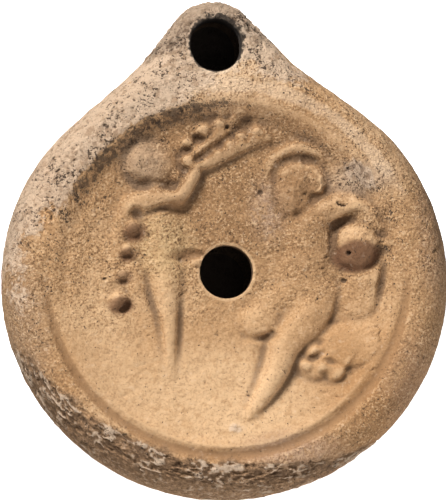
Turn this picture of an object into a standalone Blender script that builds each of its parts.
"""Roman oil lamp: a mould-made round body with a short nozzle and a figured discus.

The lamp is one hollow piece of fired clay.  It is worked out in millimetres and placed
in metres, +Z up, with its nozzle towards +Y and the origin at the middle of its flat
underside.  The wall is one skin of rings: down the outside from the filling hole, over
the discus, shoulder and under-curve to the base, and back up the inside to the hole.
"""
import math
from collections import namedtuple

import bmesh
import bpy
import numpy as np

MM = 0.001
TURN = 2.0 * math.pi

# Body and nozzle, seen from above
BODY_RADIUS = 42.0
BODY_FLATTENING = 0.012        # the body is this much shorter along the nozzle's axis
NECK_PINCH = 0.012             # how far the body draws in beside the nozzle
NECK_PINCH_ANGLE = math.radians(36.0)
NECK_PINCH_WIDTH = math.radians(15.0)
NOZZLE_CENTRE = 43.75          # from the lamp's axis to the middle of the nozzle's round end
NOZZLE_RADIUS = 9.25
FLANK_ANGLE = math.radians(49.0)   # from the nozzle's axis to the flank's normal
NECK_FILLET = 4.0

# Heights
WIDEST_HEIGHT = 14.5           # where the two halves of the mould met
NOZZLE_LIFT = 1.5              # the nozzle's widest line is this much higher
CREST_HEIGHT = 26.2            # top of the shoulder
DISCUS_HEIGHT = 22.0           # floor of the discus beside the filling hole
SHOULDER_POWERS = (2.4, 3.2)   # squareness of the shoulder's curve, on the body and nozzle
UNDER_POWERS = (2.0, 1.7)

# Discus
DISCUS_CENTRE = (-0.4, 0.5)
GROOVE_RADIUS = 33.0
GROOVE_DEPTH = 0.5
GROOVE_WIDTH = 0.9
RIDGE_RADIUS = 31.5
RIDGE_HEIGHT = 0.3
RIDGE_WIDTH = 1.2
BOWL_RISES = (3.0, 1.5)        # from the filling hole to the ridge's foot, away from and towards the nozzle
BOWL_POWERS = (4.0, 5.0)       # how late the floor rises there
CREST_RADIUS = 35.0
WORN_SIDE = 26.0               # ridge and groove fade between these distances across the axis
WORN_CREEP = 2.7               # the discus is this much smaller where they are rubbed away
WORN_RUN = 0.7                 # and its border is this much broader
SIDE_CREEP = 1.2               # the same at the two sides
SIDE_RUN = 1.8

WEAR = 0.36                    # how far the relief's edges are rubbed
WEAR_SAMPLES = 6
EDGE = 1.15                    # how softly the relief's forms meet the floor
LEAN_SIDE = (0.35, -0.94)      # the relief's forms are steeper towards this side
LEAN = 0.65
CURVE_STEPS = 8                # pieces of a limb between two of its joints
CURLS = 7                      # in the seated figure's hair

# Holes
FILLING_CENTRE = (-0.2, 1.4)
FILLING_RADIUS = 4.95
WICK_CENTRE = (-0.15, 43.4)
WICK_RADIUS = 4.75
WICK_STRETCH = 1.06            # the wick hole is longer along the nozzle

# Base and inside
BASE_RADIUS = 21.0
BASE_GROOVE_RADIUS = 22.0
BASE_GROOVE_HEIGHT = 0.8
UNDER_RADIUS = 23.2
UNDER_HEIGHT = 0.5
WALL = 3.0
FLOOR_HEIGHT = 3.5
FLOOR_RADIUS = 22.0
CEILING_HEIGHT = 18.9
CEILING_RADIUS = 29.0
INNER_CREST_HEIGHT = 22.2
INNER_CREST_RADIUS = 33.5

# Fineness of the skin
HOLE_STEPS = 36
RING_SPACING = 1.15
SHOULDER_RINGS = 7
UNDER_RINGS = 6
INNER_RINGS = 4
NOZZLE_CROWDING = 0.6          # how strongly the steps gather at the nozzle

Joint = namedtuple("Joint", "x y radius height")


def smooth_step(low, high, value):
    """0 below low, 1 above high, and an even S between."""
    t = np.clip((value - low) / (high - low), 0.0, 1.0)
    return t * t * (3.0 - 2.0 * t)


def smooth_max(a, b, blend):
    """The larger of two heights, with the crease between them filled."""
    near = np.clip(blend - np.abs(a - b), 0.0, None) / blend
    return np.maximum(a, b) + near * near * blend / 4.0


# ---------------------------------------------------------------- the outline in plan

def nozzle_reach(angle, inset):
    """How far the nozzle reaches at an angle from its own axis, inside a wall of inset."""
    end = NOZZLE_RADIUS - inset
    flank = NOZZLE_CENTRE * math.cos(FLANK_ANGLE) + end
    tangent_x = end * math.sin(FLANK_ANGLE)
    tangent_y = NOZZLE_CENTRE + end * math.cos(FLANK_ANGLE)
    side = math.atan2(tangent_x, tangent_y)
    if angle < side:
        across = NOZZLE_CENTRE * math.sin(angle)
        return NOZZLE_CENTRE * math.cos(angle) + math.sqrt(end * end - across * across)
    if angle < FLANK_ANGLE:
        return flank / math.cos(angle - FLANK_ANGLE)
    return flank


def outline(angle, inset=0.0):
    """Distance from the lamp's axis to its widest line, at an angle from the nozzle."""
    angle = abs((angle + math.pi) % TURN - math.pi)
    pinch = math.exp(-((angle - NECK_PINCH_ANGLE) / NECK_PINCH_WIDTH) ** 2)
    body = BODY_RADIUS * (1.0 - BODY_FLATTENING * (1.0 + math.cos(2.0 * angle)) - NECK_PINCH * pinch)
    return float(smooth_max(body - inset, nozzle_reach(angle, inset), NECK_FILLET))


def nozzle_share(angle):
    """0 on the round body, 1 at the nozzle's tip."""
    reach = NOZZLE_CENTRE + NOZZLE_RADIUS - BODY_RADIUS
    return float(smooth_step(0.0, 1.0, (outline(angle) - BODY_RADIUS) / reach))


# ---------------------------------------------------------------- the relief's vocabulary

def through(joints):
    """Joints on a smooth curve through the given ones, with their sizes eased alike."""
    if len(joints) < 3:
        return joints
    ends = [joints[0], *joints, joints[-1]]
    curve = []
    for before, start, end, after in zip(ends, ends[1:], ends[2:], ends[3:]):
        for step in range(CURVE_STEPS):
            t = step / CURVE_STEPS
            curve.append(Joint(*(
                0.5 * (2.0 * b + (c - a) * t + (2.0 * a - 5.0 * b + 4.0 * c - d) * t ** 2
                       + (3.0 * b - a - 3.0 * c + d) * t ** 3)
                for a, b, c, d in zip(before, start, end, after))))
    return [*curve, joints[-1]]


def rounded(across, along, height, edge, lean):
    """A dome over the unit circle, steeper on its lower right than on its upper left."""
    away = np.hypot(across, along)
    facing = (across * LEAN_SIDE[0] + along * LEAN_SIDE[1]) / np.maximum(away, 1e-6)
    return height * np.clip(1.0 - away * away, 0.0, None) ** (edge * (1.0 - lean * facing))


def limb(x, y, *joints, edge=EDGE, lean=LEAN):
    """A rounded limb through its joints, as a height over the discus."""
    height = np.zeros_like(x)
    curve = through(joints)
    for start, end in zip(curve, curve[1:]):
        along_x = end.x - start.x
        along_y = end.y - start.y
        length = math.hypot(along_x, along_y)
        taper = (end.radius - start.radius) / length
        reach = ((x - start.x) * along_x + (y - start.y) * along_y) / length
        aside_squared = (x - start.x) ** 2 + (y - start.y) ** 2 - reach * reach
        widened = np.maximum(start.radius + taper * reach, 0.2 * start.radius)
        t = np.clip((reach + taper * aside_squared / widened) / length, 0.0, 1.0)
        radius = start.radius + (end.radius - start.radius) * t
        top = start.height + (end.height - start.height) * t
        across = (x - start.x - t * along_x) / radius
        along = (y - start.y - t * along_y) / radius
        height = np.maximum(height, rounded(across, along, top, edge, lean))
    return height


def mound(x, y, centre, size, height, turn=0.0, edge=EDGE, lean=LEAN):
    """A rounded oval lump, as a height over the discus."""
    cosine = math.cos(math.radians(turn))
    sine = math.sin(math.radians(turn))
    across = ((x - centre[0]) * cosine + (y - centre[1]) * sine) / size[0]
    along = ((y - centre[1]) * cosine - (x - centre[0]) * sine) / size[1]
    return rounded(across, along, height, edge, lean)


def merge(*forms, blend=0.3):
    """Forms that grow out of each other, joined with filled creases."""
    height = forms[0]
    for form in forms[1:]:
        shared = np.clip(np.minimum(height, form) / blend, 0.0, 1.0)
        larger = np.maximum(height, form)
        height = larger + shared * (smooth_max(height, form, blend) - larger)
    return height


# ---------------------------------------------------------------- the relief's figures

def player(x, y):
    """The standing player on the left, who lifts two pipes with a bent arm."""
    chest = Joint(-13.4, 14.4, 3.6, 1.1)
    ribs = Joint(-12.4, 9.4, 5.2, 1.5)
    waist = Joint(-12.4, 5.0, 4.8, 1.3)
    hip = Joint(-11.9, 4.0, 3.7, 1.4)
    thigh = Joint(-11.8, -1.4, 3.3, 1.8)
    knee = Joint(-11.6, -6.0, 2.5, 1.7)
    calf = Joint(-11.6, -11.0, 2.0, 1.3)
    ankle = Joint(-11.7, -17.0, 1.4, 0.3)
    shoulder = Joint(-17.3, 14.5, 2.5, 1.6)
    upper_arm = Joint(-14.6, 15.2, 2.8, 2.0)
    above_elbow = Joint(-11.6, 15.7, 2.3, 2.1)
    elbow = Joint(-8.7, 15.7, 2.0, 2.3)
    forearm = Joint(-7.0, 17.6, 2.0, 2.3)
    wrist = Joint(-5.2, 20.3, 1.8, 2.0)
    far_leg = limb(
        x, y,
        Joint(-17.6, 2.6, 2.6, 0.6),
        Joint(-16.6, -3.0, 2.3, 0.7),
        Joint(-15.2, -7.4, 2.0, 0.5),
        Joint(-14.0, -12.6, 1.8, 0.3),
        Joint(-12.8, -17.6, 1.2, 0.1),
        edge=1.4,
    )
    return merge(
        limb(x, y, chest, ribs, waist, edge=1.5, lean=0.2),
        limb(x, y, hip, thigh, knee, calf, ankle, lean=0.5),
        far_leg,
        limb(x, y, Joint(-18.5, 12.2, 1.8, 0.7), shoulder, upper_arm, above_elbow, elbow, edge=0.8, lean=0.5),
        limb(x, y, elbow, forearm, wrist, edge=0.9),
        mound(x, y, (-6.4, 22.3), (1.9, 1.8), 1.9),
        mound(x, y, (-4.7, 21.3), (1.6, 1.5), 1.7),
        mound(x, y, (-8.6, 19.6), (2.4, 2.2), 1.2, edge=1.3, lean=0.0),
        mound(x, y, (-5.4, 3.6), (1.5, 1.1), 0.9),
        blend=0.5,
    )


def player_head(x, y):
    """A round head with a cap of hair, turned to the pipes."""
    return merge(
        mound(x, y, (-12.4, 21.9), (4.6, 4.5), 1.8, turn=20.0, lean=0.5),
        mound(x, y, (-14.4, 22.4), (3.8, 4.3), 2.1, turn=-10.0, edge=0.9, lean=0.5),
        mound(x, y, (-9.9, 21.4), (1.7, 2.2), 1.1, lean=0.3),
        limb(x, y, Joint(-12.6, 18.8, 2.2, 1.2), Joint(-12.6, 16.4, 2.4, 1.4)),
        blend=0.8,
    )


def cloak(x, y):
    """The edge of the player's cloak, with a string of fruit hanging beside it."""
    edge = limb(
        x, y,
        Joint(-17.6, 14.4, 2.4, 1.3),
        Joint(-19.0, 12.0, 2.2, 0.8),
        Joint(-19.8, 8.4, 2.2, 0.6),
        Joint(-21.4, 1.7, 2.0, 0.2),
        edge=1.4, lean=0.3,
    )
    fold = limb(x, y, Joint(-16.6, 12.0, 2.6, 0.7), Joint(-17.0, 6.0, 2.4, 0.3), edge=1.4)
    fruit = [
        mound(x, y, (-17.3, 10.6), (2.0, 2.0), 1.8, edge=1.0),
        mound(x, y, (-18.6, 6.7), (1.5, 1.5), 1.3, edge=1.0),
        mound(x, y, (-19.6, 2.1), (1.5, 1.5), 1.0, edge=1.0),
        mound(x, y, (-20.6, -2.8), (2.1, 1.8), 1.4, turn=25.0, edge=1.0),
        mound(x, y, (-22.9, 1.4), (0.9, 0.8), 0.4),
    ]
    return merge(edge, fold, *fruit)


def pipes(x, y):
    """Two knobbed pipes that spread from the player's hand."""
    lower = limb(
        x, y,
        Joint(-4.4, 21.3, 1.5, 1.5),
        Joint(-1.0, 22.8, 1.8, 1.3),
        Joint(3.4, 24.8, 1.8, 1.2),
        Joint(8.0, 26.3, 1.6, 0.7),
        edge=1.2,
    )
    upper = limb(
        x, y,
        Joint(-5.4, 23.4, 1.4, 1.1),
        Joint(-2.6, 25.2, 1.7, 1.0),
        Joint(0.0, 27.3, 1.8, 1.0),
        Joint(2.8, 29.7, 1.6, 0.6),
        edge=1.2,
    )
    knobs = [
        mound(x, y, (-0.8, 23.6), (1.6, 1.3), 1.4),
        mound(x, y, (1.3, 25.1), (1.7, 1.3), 1.4, turn=30.0),
        mound(x, y, (3.8, 26.5), (1.7, 1.2), 1.3, turn=-20.0),
        mound(x, y, (6.5, 27.1), (1.8, 1.2), 1.2, turn=20.0),
        mound(x, y, (-3.2, 27.9), (2.1, 1.6), 1.3),
        mound(x, y, (-0.4, 28.9), (1.7, 1.3), 1.3, turn=30.0),
        mound(x, y, (3.4, 30.6), (2.0, 1.1), 0.7),
        mound(x, y, (-6.4, 25.8), (1.7, 1.4), 1.0),
    ]
    return merge(lower, upper, *knobs, blend=0.4)


def sitter(x, y):
    """The seated figure on the right, who leans back on a rock."""
    collar = Joint(16.0, 11.0, 3.2, 1.5)
    shoulder = Joint(19.4, 12.5, 3.1, 2.1)
    elbow = Joint(22.6, 12.6, 3.0, 2.4)
    wrist = Joint(25.8, 11.0, 2.3, 1.7)
    hand = Joint(27.6, 8.2, 1.6, 0.8)
    breast = Joint(15.0, 8.4, 4.8, 1.6)
    ribs = Joint(14.8, 4.2, 4.8, 1.5)
    belly = Joint(14.0, -0.8, 6.0, 1.1)
    lap = Joint(16.6, -3.0, 3.8, 1.4)
    thigh = Joint(14.2, -7.4, 4.5, 2.5)
    knee = Joint(10.1, -11.8, 3.8, 2.8)
    shin = Joint(7.8, -16.8, 3.1, 2.5)
    ankle = Joint(5.2, -21.2, 2.3, 1.7)
    toes = Joint(2.2, -25.2, 1.3, 0.4)
    far_thigh = limb(
        x, y,
        Joint(6.2, -6.4, 3.8, 0.9),
        Joint(11.6, -3.8, 4.8, 1.1),
        Joint(15.0, -1.6, 5.0, 1.1),
        edge=1.7, lean=0.1,
    )
    return merge(
        limb(x, y, collar, shoulder, elbow, wrist, hand, edge=0.95, lean=0.5),
        limb(x, y, breast, ribs, lean=0.5),
        limb(x, y, ribs, belly, edge=1.6, lean=0.2),
        limb(x, y, lap, thigh, knee, shin, ankle, toes, edge=1.0, lean=0.6),
        mound(x, y, (5.2, -7.6), (4.2, 3.6), 1.5, edge=1.0),
        far_thigh,
        limb(x, y, Joint(4.2, -11.0, 2.4, 0.6), Joint(3.2, -14.8, 1.8, 0.2), edge=1.4),
        blend=0.9,
    )


def sitter_hair(x, y):
    """A roll of curls over the brow, gathered behind the head."""
    ridge = through([
        Joint(11.4, 19.0, 1.6, 1.6),
        Joint(13.0, 20.2, 1.6, 1.6),
        Joint(16.0, 19.8, 1.6, 1.6),
        Joint(18.0, 17.8, 1.6, 1.6),
        Joint(17.8, 15.6, 1.6, 1.6),
    ])
    curls = [
        mound(x, y, (spot.x, spot.y), (spot.radius, 0.9 * spot.radius), spot.height, turn=40.0 * index, lean=0.3)
        for index, spot in enumerate(ridge[::len(ridge) // CURLS])
    ]
    return merge(*curls, blend=0.4)


def sitter_head(x, y):
    """A long oval face under the hair, with one arm arched over it."""
    arm = limb(
        x, y,
        Joint(8.1, 18.8, 1.1, 0.3),
        Joint(9.1, 21.4, 1.6, 0.9),
        Joint(11.4, 23.1, 1.8, 1.2),
        Joint(14.2, 23.8, 1.8, 1.3),
        Joint(16.8, 23.0, 1.6, 1.1),
        Joint(18.4, 21.9, 1.2, 0.5),
        edge=1.3, lean=0.5,
    )
    return merge(
        arm,
        mound(x, y, (12.9, 16.0), (3.6, 5.0), 2.0, turn=-5.0, edge=0.8, lean=0.3),
        mound(x, y, (14.2, 19.0), (5.0, 3.5), 1.7, turn=-10.0, lean=0.4),
        mound(x, y, (17.0, 17.2), (2.7, 2.9), 1.5, lean=0.5),
        limb(x, y, Joint(14.8, 13.4, 2.4, 1.2), Joint(16.4, 11.0, 3.0, 1.5)),
        blend=0.7,
    )


def child(x, y):
    """The small companion whom the seated figure holds with one arm."""
    return merge(
        mound(x, y, (24.2, 5.9), (4.1, 4.5), 3.0, edge=0.65, lean=0.6),
        mound(x, y, (24.0, 3.7), (3.6, 3.1), 2.5, edge=0.5, lean=0.5),
        limb(x, y, Joint(27.6, 5.8, 1.4, 1.7), Joint(29.8, 5.2, 1.2, 0.7)),
        limb(x, y, Joint(24.7, -0.8, 4.0, 1.5), Joint(23.8, -4.4, 4.2, 0.9), edge=1.1, lean=0.4),
    )


def rock(x, y):
    """The rock that both rest on, draped, with its lumps at the lower left."""
    return merge(
        mound(x, y, (17.6, -14.2), (6.8, 4.6), 1.6, turn=32.0, edge=0.6),
        mound(x, y, (21.8, -12.8), (6.0, 4.8), 1.0, turn=20.0, edge=1.3),
        mound(x, y, (13.3, -16.4), (1.9, 1.8), 1.9, turn=30.0, edge=0.8),
        mound(x, y, (14.8, -14.0), (2.4, 1.7), 2.0, turn=40.0),
        mound(x, y, (16.0, -17.0), (2.2, 1.5), 1.8, turn=35.0, edge=0.8),
        mound(x, y, (18.2, -14.2), (2.3, 1.8), 1.8, turn=10.0),
        mound(x, y, (18.9, -18.2), (2.2, 1.6), 1.4, turn=45.0, edge=0.8),
        mound(x, y, (20.6, -15.9), (1.9, 1.6), 1.5, turn=-20.0),
    )


def player_hollows(x, y):
    """What is pressed in beside the player."""
    nape = limb(
        x, y,
        Joint(-18.0, 20.0, 1.0, 0.2),
        Joint(-16.2, 18.9, 1.4, 0.6),
        Joint(-13.8, 18.5, 1.2, 0.5),
        Joint(-11.2, 18.1, 0.7, 0.3),
        edge=1.3, lean=0.0,
    )
    under_arm = limb(
        x, y, Joint(-14.9, 12.7, 0.8, 0.3), Joint(-12.2, 13.5, 0.8, 0.5), Joint(-9.8, 14.2, 0.9, 0.4), lean=0.0)
    between_pipes = limb(
        x, y,
        Joint(-4.4, 22.4, 0.8, 0.3),
        Joint(-2.2, 24.1, 0.9, 0.4),
        Joint(0.7, 25.9, 1.0, 0.4),
        Joint(4.8, 29.2, 1.6, 0.4),
        edge=1.3, lean=0.0,
    )
    hip_fold = limb(
        x, y,
        Joint(-10.5, 3.8, 1.4, 0.2),
        Joint(-8.4, 4.5, 1.5, 0.5),
        Joint(-6.3, 5.0, 1.1, 0.6),
        Joint(-4.2, 4.9, 0.7, 0.5),
        edge=1.3, lean=0.0,
    )
    return merge(
        nape,
        under_arm,
        mound(x, y, (-16.3, 13.1), (1.5, 1.2), 0.9, lean=0.0),
        mound(x, y, (-8.0, 13.2), (2.3, 1.4), 0.3, edge=1.4, lean=0.0),
        between_pipes,
        mound(x, y, (-4.0, 26.3), (1.4, 0.9), 0.8, turn=-20.0, lean=0.0),
        hip_fold,
        limb(x, y, Joint(-9.2, -5.0, 0.8, 0.2), Joint(-9.4, -10.0, 0.7, 0.2), lean=0.0),
        mound(x, y, (-19.3, -4.0), (1.0, 1.4), 1.2, turn=-35.0, lean=0.0),
        blend=0.1,
    )


def sitter_hollows(x, y):
    """What is pressed in between the seated figure, the child and the rock."""
    beside_face = limb(
        x, y,
        Joint(19.0, 15.4, 0.9, 0.3),
        Joint(17.2, 14.0, 1.0, 0.5),
        Joint(15.6, 12.4, 0.9, 0.4),
        Joint(13.4, 11.0, 0.9, 0.25),
        lean=0.0,
    )
    round_child = limb(
        x, y,
        Joint(26.6, 11.1, 0.7, 0.3),
        Joint(23.6, 10.5, 1.0, 0.6),
        Joint(20.9, 8.9, 1.2, 0.8),
        Joint(19.7, 6.4, 0.9, 0.4),
        Joint(19.7, 2.4, 0.8, 0.2),
        lean=0.0,
    )
    child_back = limb(
        x, y, Joint(28.9, 1.2, 0.7, 0.3), Joint(28.2, -2.6, 0.9, 0.7), Joint(27.1, -6.4, 0.8, 0.4), lean=0.0)
    under_knee = limb(
        x, y, Joint(2.4, -10.9, 0.7, 0.2), Joint(4.8, -11.4, 0.8, 0.4), Joint(8.0, -10.7, 0.7, 0.3), lean=0.0)
    upper_fold = limb(
        x, y, Joint(13.2, -15.6, 0.5, 0.2), Joint(14.8, -15.5, 0.7, 0.6), Joint(16.8, -14.5, 0.6, 0.3), lean=0.0)
    lower_fold = limb(
        x, y, Joint(16.9, -15.9, 0.5, 0.2), Joint(18.0, -16.3, 0.7, 0.6), Joint(19.6, -17.0, 0.5, 0.2), lean=0.0)
    return merge(
        beside_face,
        round_child,
        child_back,
        under_knee,
        upper_fold,
        lower_fold,
        limb(x, y, Joint(12.2, -3.4, 1.4, 0.15), Joint(16.6, -4.6, 1.5, 0.25), edge=1.4, lean=0.0),
        mound(x, y, (16.7, -18.8), (0.9, 0.8), 0.6, lean=0.0),
        blend=0.1,
    )


def relief(x, y):
    """Height of all the figures over the floor of the discus."""
    figures = merge(
        player(x, y), player_head(x, y), cloak(x, y), pipes(x, y),
        sitter(x, y), sitter_hair(x, y), sitter_head(x, y), child(x, y), rock(x, y),
    )
    return figures - merge(player_hollows(x, y), sitter_hollows(x, y), blend=0.1)


def worn_relief(x, y):
    """The relief with its edges rubbed soft, as the mean over a small circle."""
    total = relief(x, y)
    for index in range(WEAR_SAMPLES):
        angle = TURN * index / WEAR_SAMPLES
        total = total + relief(x + WEAR * math.sin(angle), y + WEAR * math.cos(angle))
    return total / (WEAR_SAMPLES + 1)


def discus_height(x, y):
    """Height of the upper surface inside the shoulder's crest."""
    radius = np.hypot(x - DISCUS_CENTRE[0], y - DISCUS_CENTRE[1])
    worn = smooth_step(-WORN_SIDE, WORN_SIDE, y)
    side = smooth_step(0.6, 1.0, np.abs(x - DISCUS_CENTRE[0]) / radius)
    foot = RIDGE_RADIUS - WORN_CREEP * worn - SIDE_CREEP * side
    run = CREST_RADIUS - RIDGE_RADIUS + WORN_RUN * worn + SIDE_RUN * side
    rise = BOWL_RISES[0] + (BOWL_RISES[1] - BOWL_RISES[0]) * worn
    power = BOWL_POWERS[0] + (BOWL_POWERS[1] - BOWL_POWERS[0]) * worn
    bowl = rise * np.clip(radius / foot, 0.0, 1.0) ** power
    ridge = RIDGE_HEIGHT * np.exp(-((radius - RIDGE_RADIUS) / RIDGE_WIDTH) ** 2)
    groove = GROOVE_DEPTH * np.exp(-((radius - GROOVE_RADIUS) / GROOVE_WIDTH) ** 2)
    shoulder = (CREST_HEIGHT - DISCUS_HEIGHT - rise) * smooth_step(foot, foot + run, radius)
    height = DISCUS_HEIGHT + bowl + (1.0 - worn) * (ridge - groove) + shoulder
    return np.minimum(height + worn_relief(x, y), CREST_HEIGHT)


# ---------------------------------------------------------------- the skin, ring by ring

def spread_angles(count, crowding):
    """Angles of a ring's points from the nozzle's axis, gathered there by crowding."""
    turns = np.arange(count) * TURN / count
    return turns - crowding * np.sin(turns)


def flat_ring(angles, centre, radius, stretch=1.0):
    """Points of a round ring, with the nozzle's axis at angle 0."""
    x = centre[0] + radius * np.sin(angles)
    y = centre[1] + radius * stretch * np.cos(angles)
    return x, y


def with_height(x, y, z):
    """One (count, 3) array from a ring's coordinates."""
    return np.stack([x, y, np.broadcast_to(z, x.shape)], axis=1)


def steps_at(radius):
    """Points in a ring of the discus: their number doubles twice on the way out."""
    if radius < 9.0:
        return HOLE_STEPS
    if radius < 17.5:
        return HOLE_STEPS * 2
    return HOLE_STEPS * 4


def discus_rings():
    """From the filling hole's rim to the shoulder's crest."""
    rings = []
    count = round((CREST_RADIUS - FILLING_RADIUS) / RING_SPACING)
    for index in range(count + 1):
        share = index / count
        radius = FILLING_RADIUS + (CREST_RADIUS - FILLING_RADIUS) * share
        outward = float(smooth_step(0.0, 0.6, share))
        centre = [a + (b - a) * outward for a, b in zip(FILLING_CENTRE, DISCUS_CENTRE)]
        crowding = NOZZLE_CROWDING * float(smooth_step(0.75, 1.0, share))
        steps = HOLE_STEPS * 2 if index == count else steps_at(radius)
        x, y = flat_ring(spread_angles(steps, crowding), centre, radius)
        rings.append(with_height(x, y, discus_height(x, y)))
    return rings


def round_off(share, powers, nozzle):
    """Height left, from 1 to 0, as a curve runs out by share from 0 to 1."""
    power = powers[0] + (powers[1] - powers[0]) * nozzle
    return (1.0 - share ** power) ** (1.0 / power)


def wall_rings(inset, start, end, shoulder_count, under_count):
    """Rings over the shoulder to the widest line, and on under the body.

    start and end are (radius, height) where the shoulder begins and the under-curve ends.
    """
    angles = spread_angles(HOLE_STEPS * 2, NOZZLE_CROWDING)
    reach = np.array([outline(angle, inset) for angle in angles])
    nozzle = np.array([nozzle_share(angle) for angle in angles])
    widest = WIDEST_HEIGHT + NOZZLE_LIFT * nozzle
    start_x, start_y = flat_ring(angles, DISCUS_CENTRE, start[0])
    outer_x, outer_y = flat_ring(angles, (0.0, 0.0), reach)
    rings = []
    for index in range(1, shoulder_count + 1):
        out = math.sin(0.5 * math.pi * index / shoulder_count)
        z = widest + (start[1] - widest) * round_off(out, SHOULDER_POWERS, nozzle)
        rings.append(with_height(start_x + (outer_x - start_x) * out, start_y + (outer_y - start_y) * out, z))
    for index in range(1, under_count + 1):
        down = math.sin(0.5 * math.pi * index / under_count)
        radius = end[0] + (reach - end[0]) * round_off(down, UNDER_POWERS, nozzle)
        x, y = flat_ring(angles, (0.0, 0.0), radius)
        rings.append(with_height(x, y, widest + (end[1] - widest) * down))
    return rings


def outer_wall_rings():
    """From the shoulder's crest to the rim of the flat base."""
    rings = wall_rings(
        0.0, (CREST_RADIUS, CREST_HEIGHT), (UNDER_RADIUS, UNDER_HEIGHT), SHOULDER_RINGS, UNDER_RINGS)
    angles = spread_angles(HOLE_STEPS * 2, NOZZLE_CROWDING)
    for radius, height in ((BASE_GROOVE_RADIUS, BASE_GROOVE_HEIGHT), (BASE_RADIUS, 0.0)):
        x, y = flat_ring(angles, (0.0, 0.0), radius)
        rings.append(with_height(x, y, height))
    return rings


def inner_rings():
    """From the filling hole's lower edge, over the ceiling and down to the inner floor."""
    rings = []
    for index in range(INNER_RINGS):
        share = index / INNER_RINGS
        radius = FILLING_RADIUS + (CEILING_RADIUS - FILLING_RADIUS) * share
        steps = HOLE_STEPS if index < 2 else HOLE_STEPS * 2
        x, y = flat_ring(spread_angles(steps, NOZZLE_CROWDING * share), FILLING_CENTRE, radius)
        rings.append(with_height(x, y, CEILING_HEIGHT))
    angles = spread_angles(HOLE_STEPS * 2, NOZZLE_CROWDING)
    for radius, height in ((CEILING_RADIUS, CEILING_HEIGHT), (INNER_CREST_RADIUS, INNER_CREST_HEIGHT)):
        x, y = flat_ring(angles, DISCUS_CENTRE, radius)
        rings.append(with_height(x, y, height))
    start = (INNER_CREST_RADIUS, INNER_CREST_HEIGHT)
    return rings + wall_rings(WALL, start, (FLOOR_RADIUS, FLOOR_HEIGHT), INNER_RINGS, INNER_RINGS)


def stitch(mesh, ring, next_ring):
    """Faces between two rings whose numbers of points are equal, doubled or halved."""
    if len(ring) > len(next_ring):
        for face in stitch_pairs(next_ring, ring):
            mesh.faces.new(tuple(reversed(face)))
    else:
        for face in stitch_pairs(ring, next_ring):
            mesh.faces.new(face)


def stitch_pairs(coarse, fine):
    """Corner lists of the faces from a coarse ring out to one at least as fine."""
    ratio = len(fine) // len(coarse)
    for index in range(len(coarse)):
        here = coarse[index]
        there = coarse[(index + 1) % len(coarse)]
        first = fine[index * ratio]
        last = fine[(index + 1) * ratio % len(fine)]
        if ratio == 1:
            yield (here, first, last, there)
        else:
            middle = fine[index * ratio + 1]
            yield (here, first, middle)
            yield (here, middle, there)
            yield (there, middle, last)


def lamp_skin():
    """The whole wall as one closed mesh, before the wick hole is cut."""
    mesh = bmesh.new()
    outside = discus_rings() + outer_wall_rings()
    inside = inner_rings()
    outer = [[mesh.verts.new(point * MM) for point in ring] for ring in outside]
    inner = [[mesh.verts.new(point * MM) for point in ring] for ring in inside]
    for ring, next_ring in zip(outer, outer[1:]):
        stitch(mesh, ring, next_ring)
    for ring, next_ring in zip(inner, inner[1:]):
        stitch(mesh, ring, next_ring)
    stitch(mesh, inner[0], outer[0])
    mesh.faces.new(outer[-1])
    mesh.faces.new(inner[-1])
    bmesh.ops.recalc_face_normals(mesh, faces=mesh.faces)
    return mesh


def clay():
    """Pale orange fired clay."""
    material = bpy.data.materials.new("fired_clay")
    material.use_nodes = True
    shader = material.node_tree.nodes["Principled BSDF"]
    shader.inputs["Base Color"].default_value = (0.64, 0.38, 0.21, 1.0)
    shader.inputs["Roughness"].default_value = 0.85
    shader.inputs["Metallic"].default_value = 0.0
    return material


def wick_hole_cutter():
    """A slightly oval plug that reaches from above the nozzle into its channel."""
    top = CREST_HEIGHT + 4.0
    bottom = WIDEST_HEIGHT + NOZZLE_LIFT - 1.0
    bpy.ops.mesh.primitive_cylinder_add(
        vertices=HOLE_STEPS,
        radius=WICK_RADIUS * MM,
        depth=(top - bottom) * MM,
        location=(WICK_CENTRE[0] * MM, WICK_CENTRE[1] * MM, 0.5 * (top + bottom) * MM),
    )
    cutter = bpy.context.object
    cutter.name = "wick_hole_cutter"
    cutter.scale.y = WICK_STRETCH
    cutter.hide_render = True
    cutter.display_type = "WIRE"
    return cutter


def lamp_body():
    """The lamp, with its wick hole cut through the top of the nozzle."""
    data = bpy.data.meshes.new("lamp_body")
    mesh = lamp_skin()
    mesh.to_mesh(data)
    mesh.free()
    data.shade_smooth()
    data.set_sharp_from_angle(angle=math.radians(50.0))
    body = bpy.data.objects.new("lamp_body", data)
    bpy.context.collection.objects.link(body)
    data.materials.append(clay())
    cut = body.modifiers.new("wick_hole", "BOOLEAN")
    cut.operation = "DIFFERENCE"
    cut.solver = "EXACT"
    cut.object = wick_hole_cutter()
    return body


def main():
    for old in list(bpy.data.objects):
        bpy.data.objects.remove(old, do_unlink=True)
    lamp_body()


main()
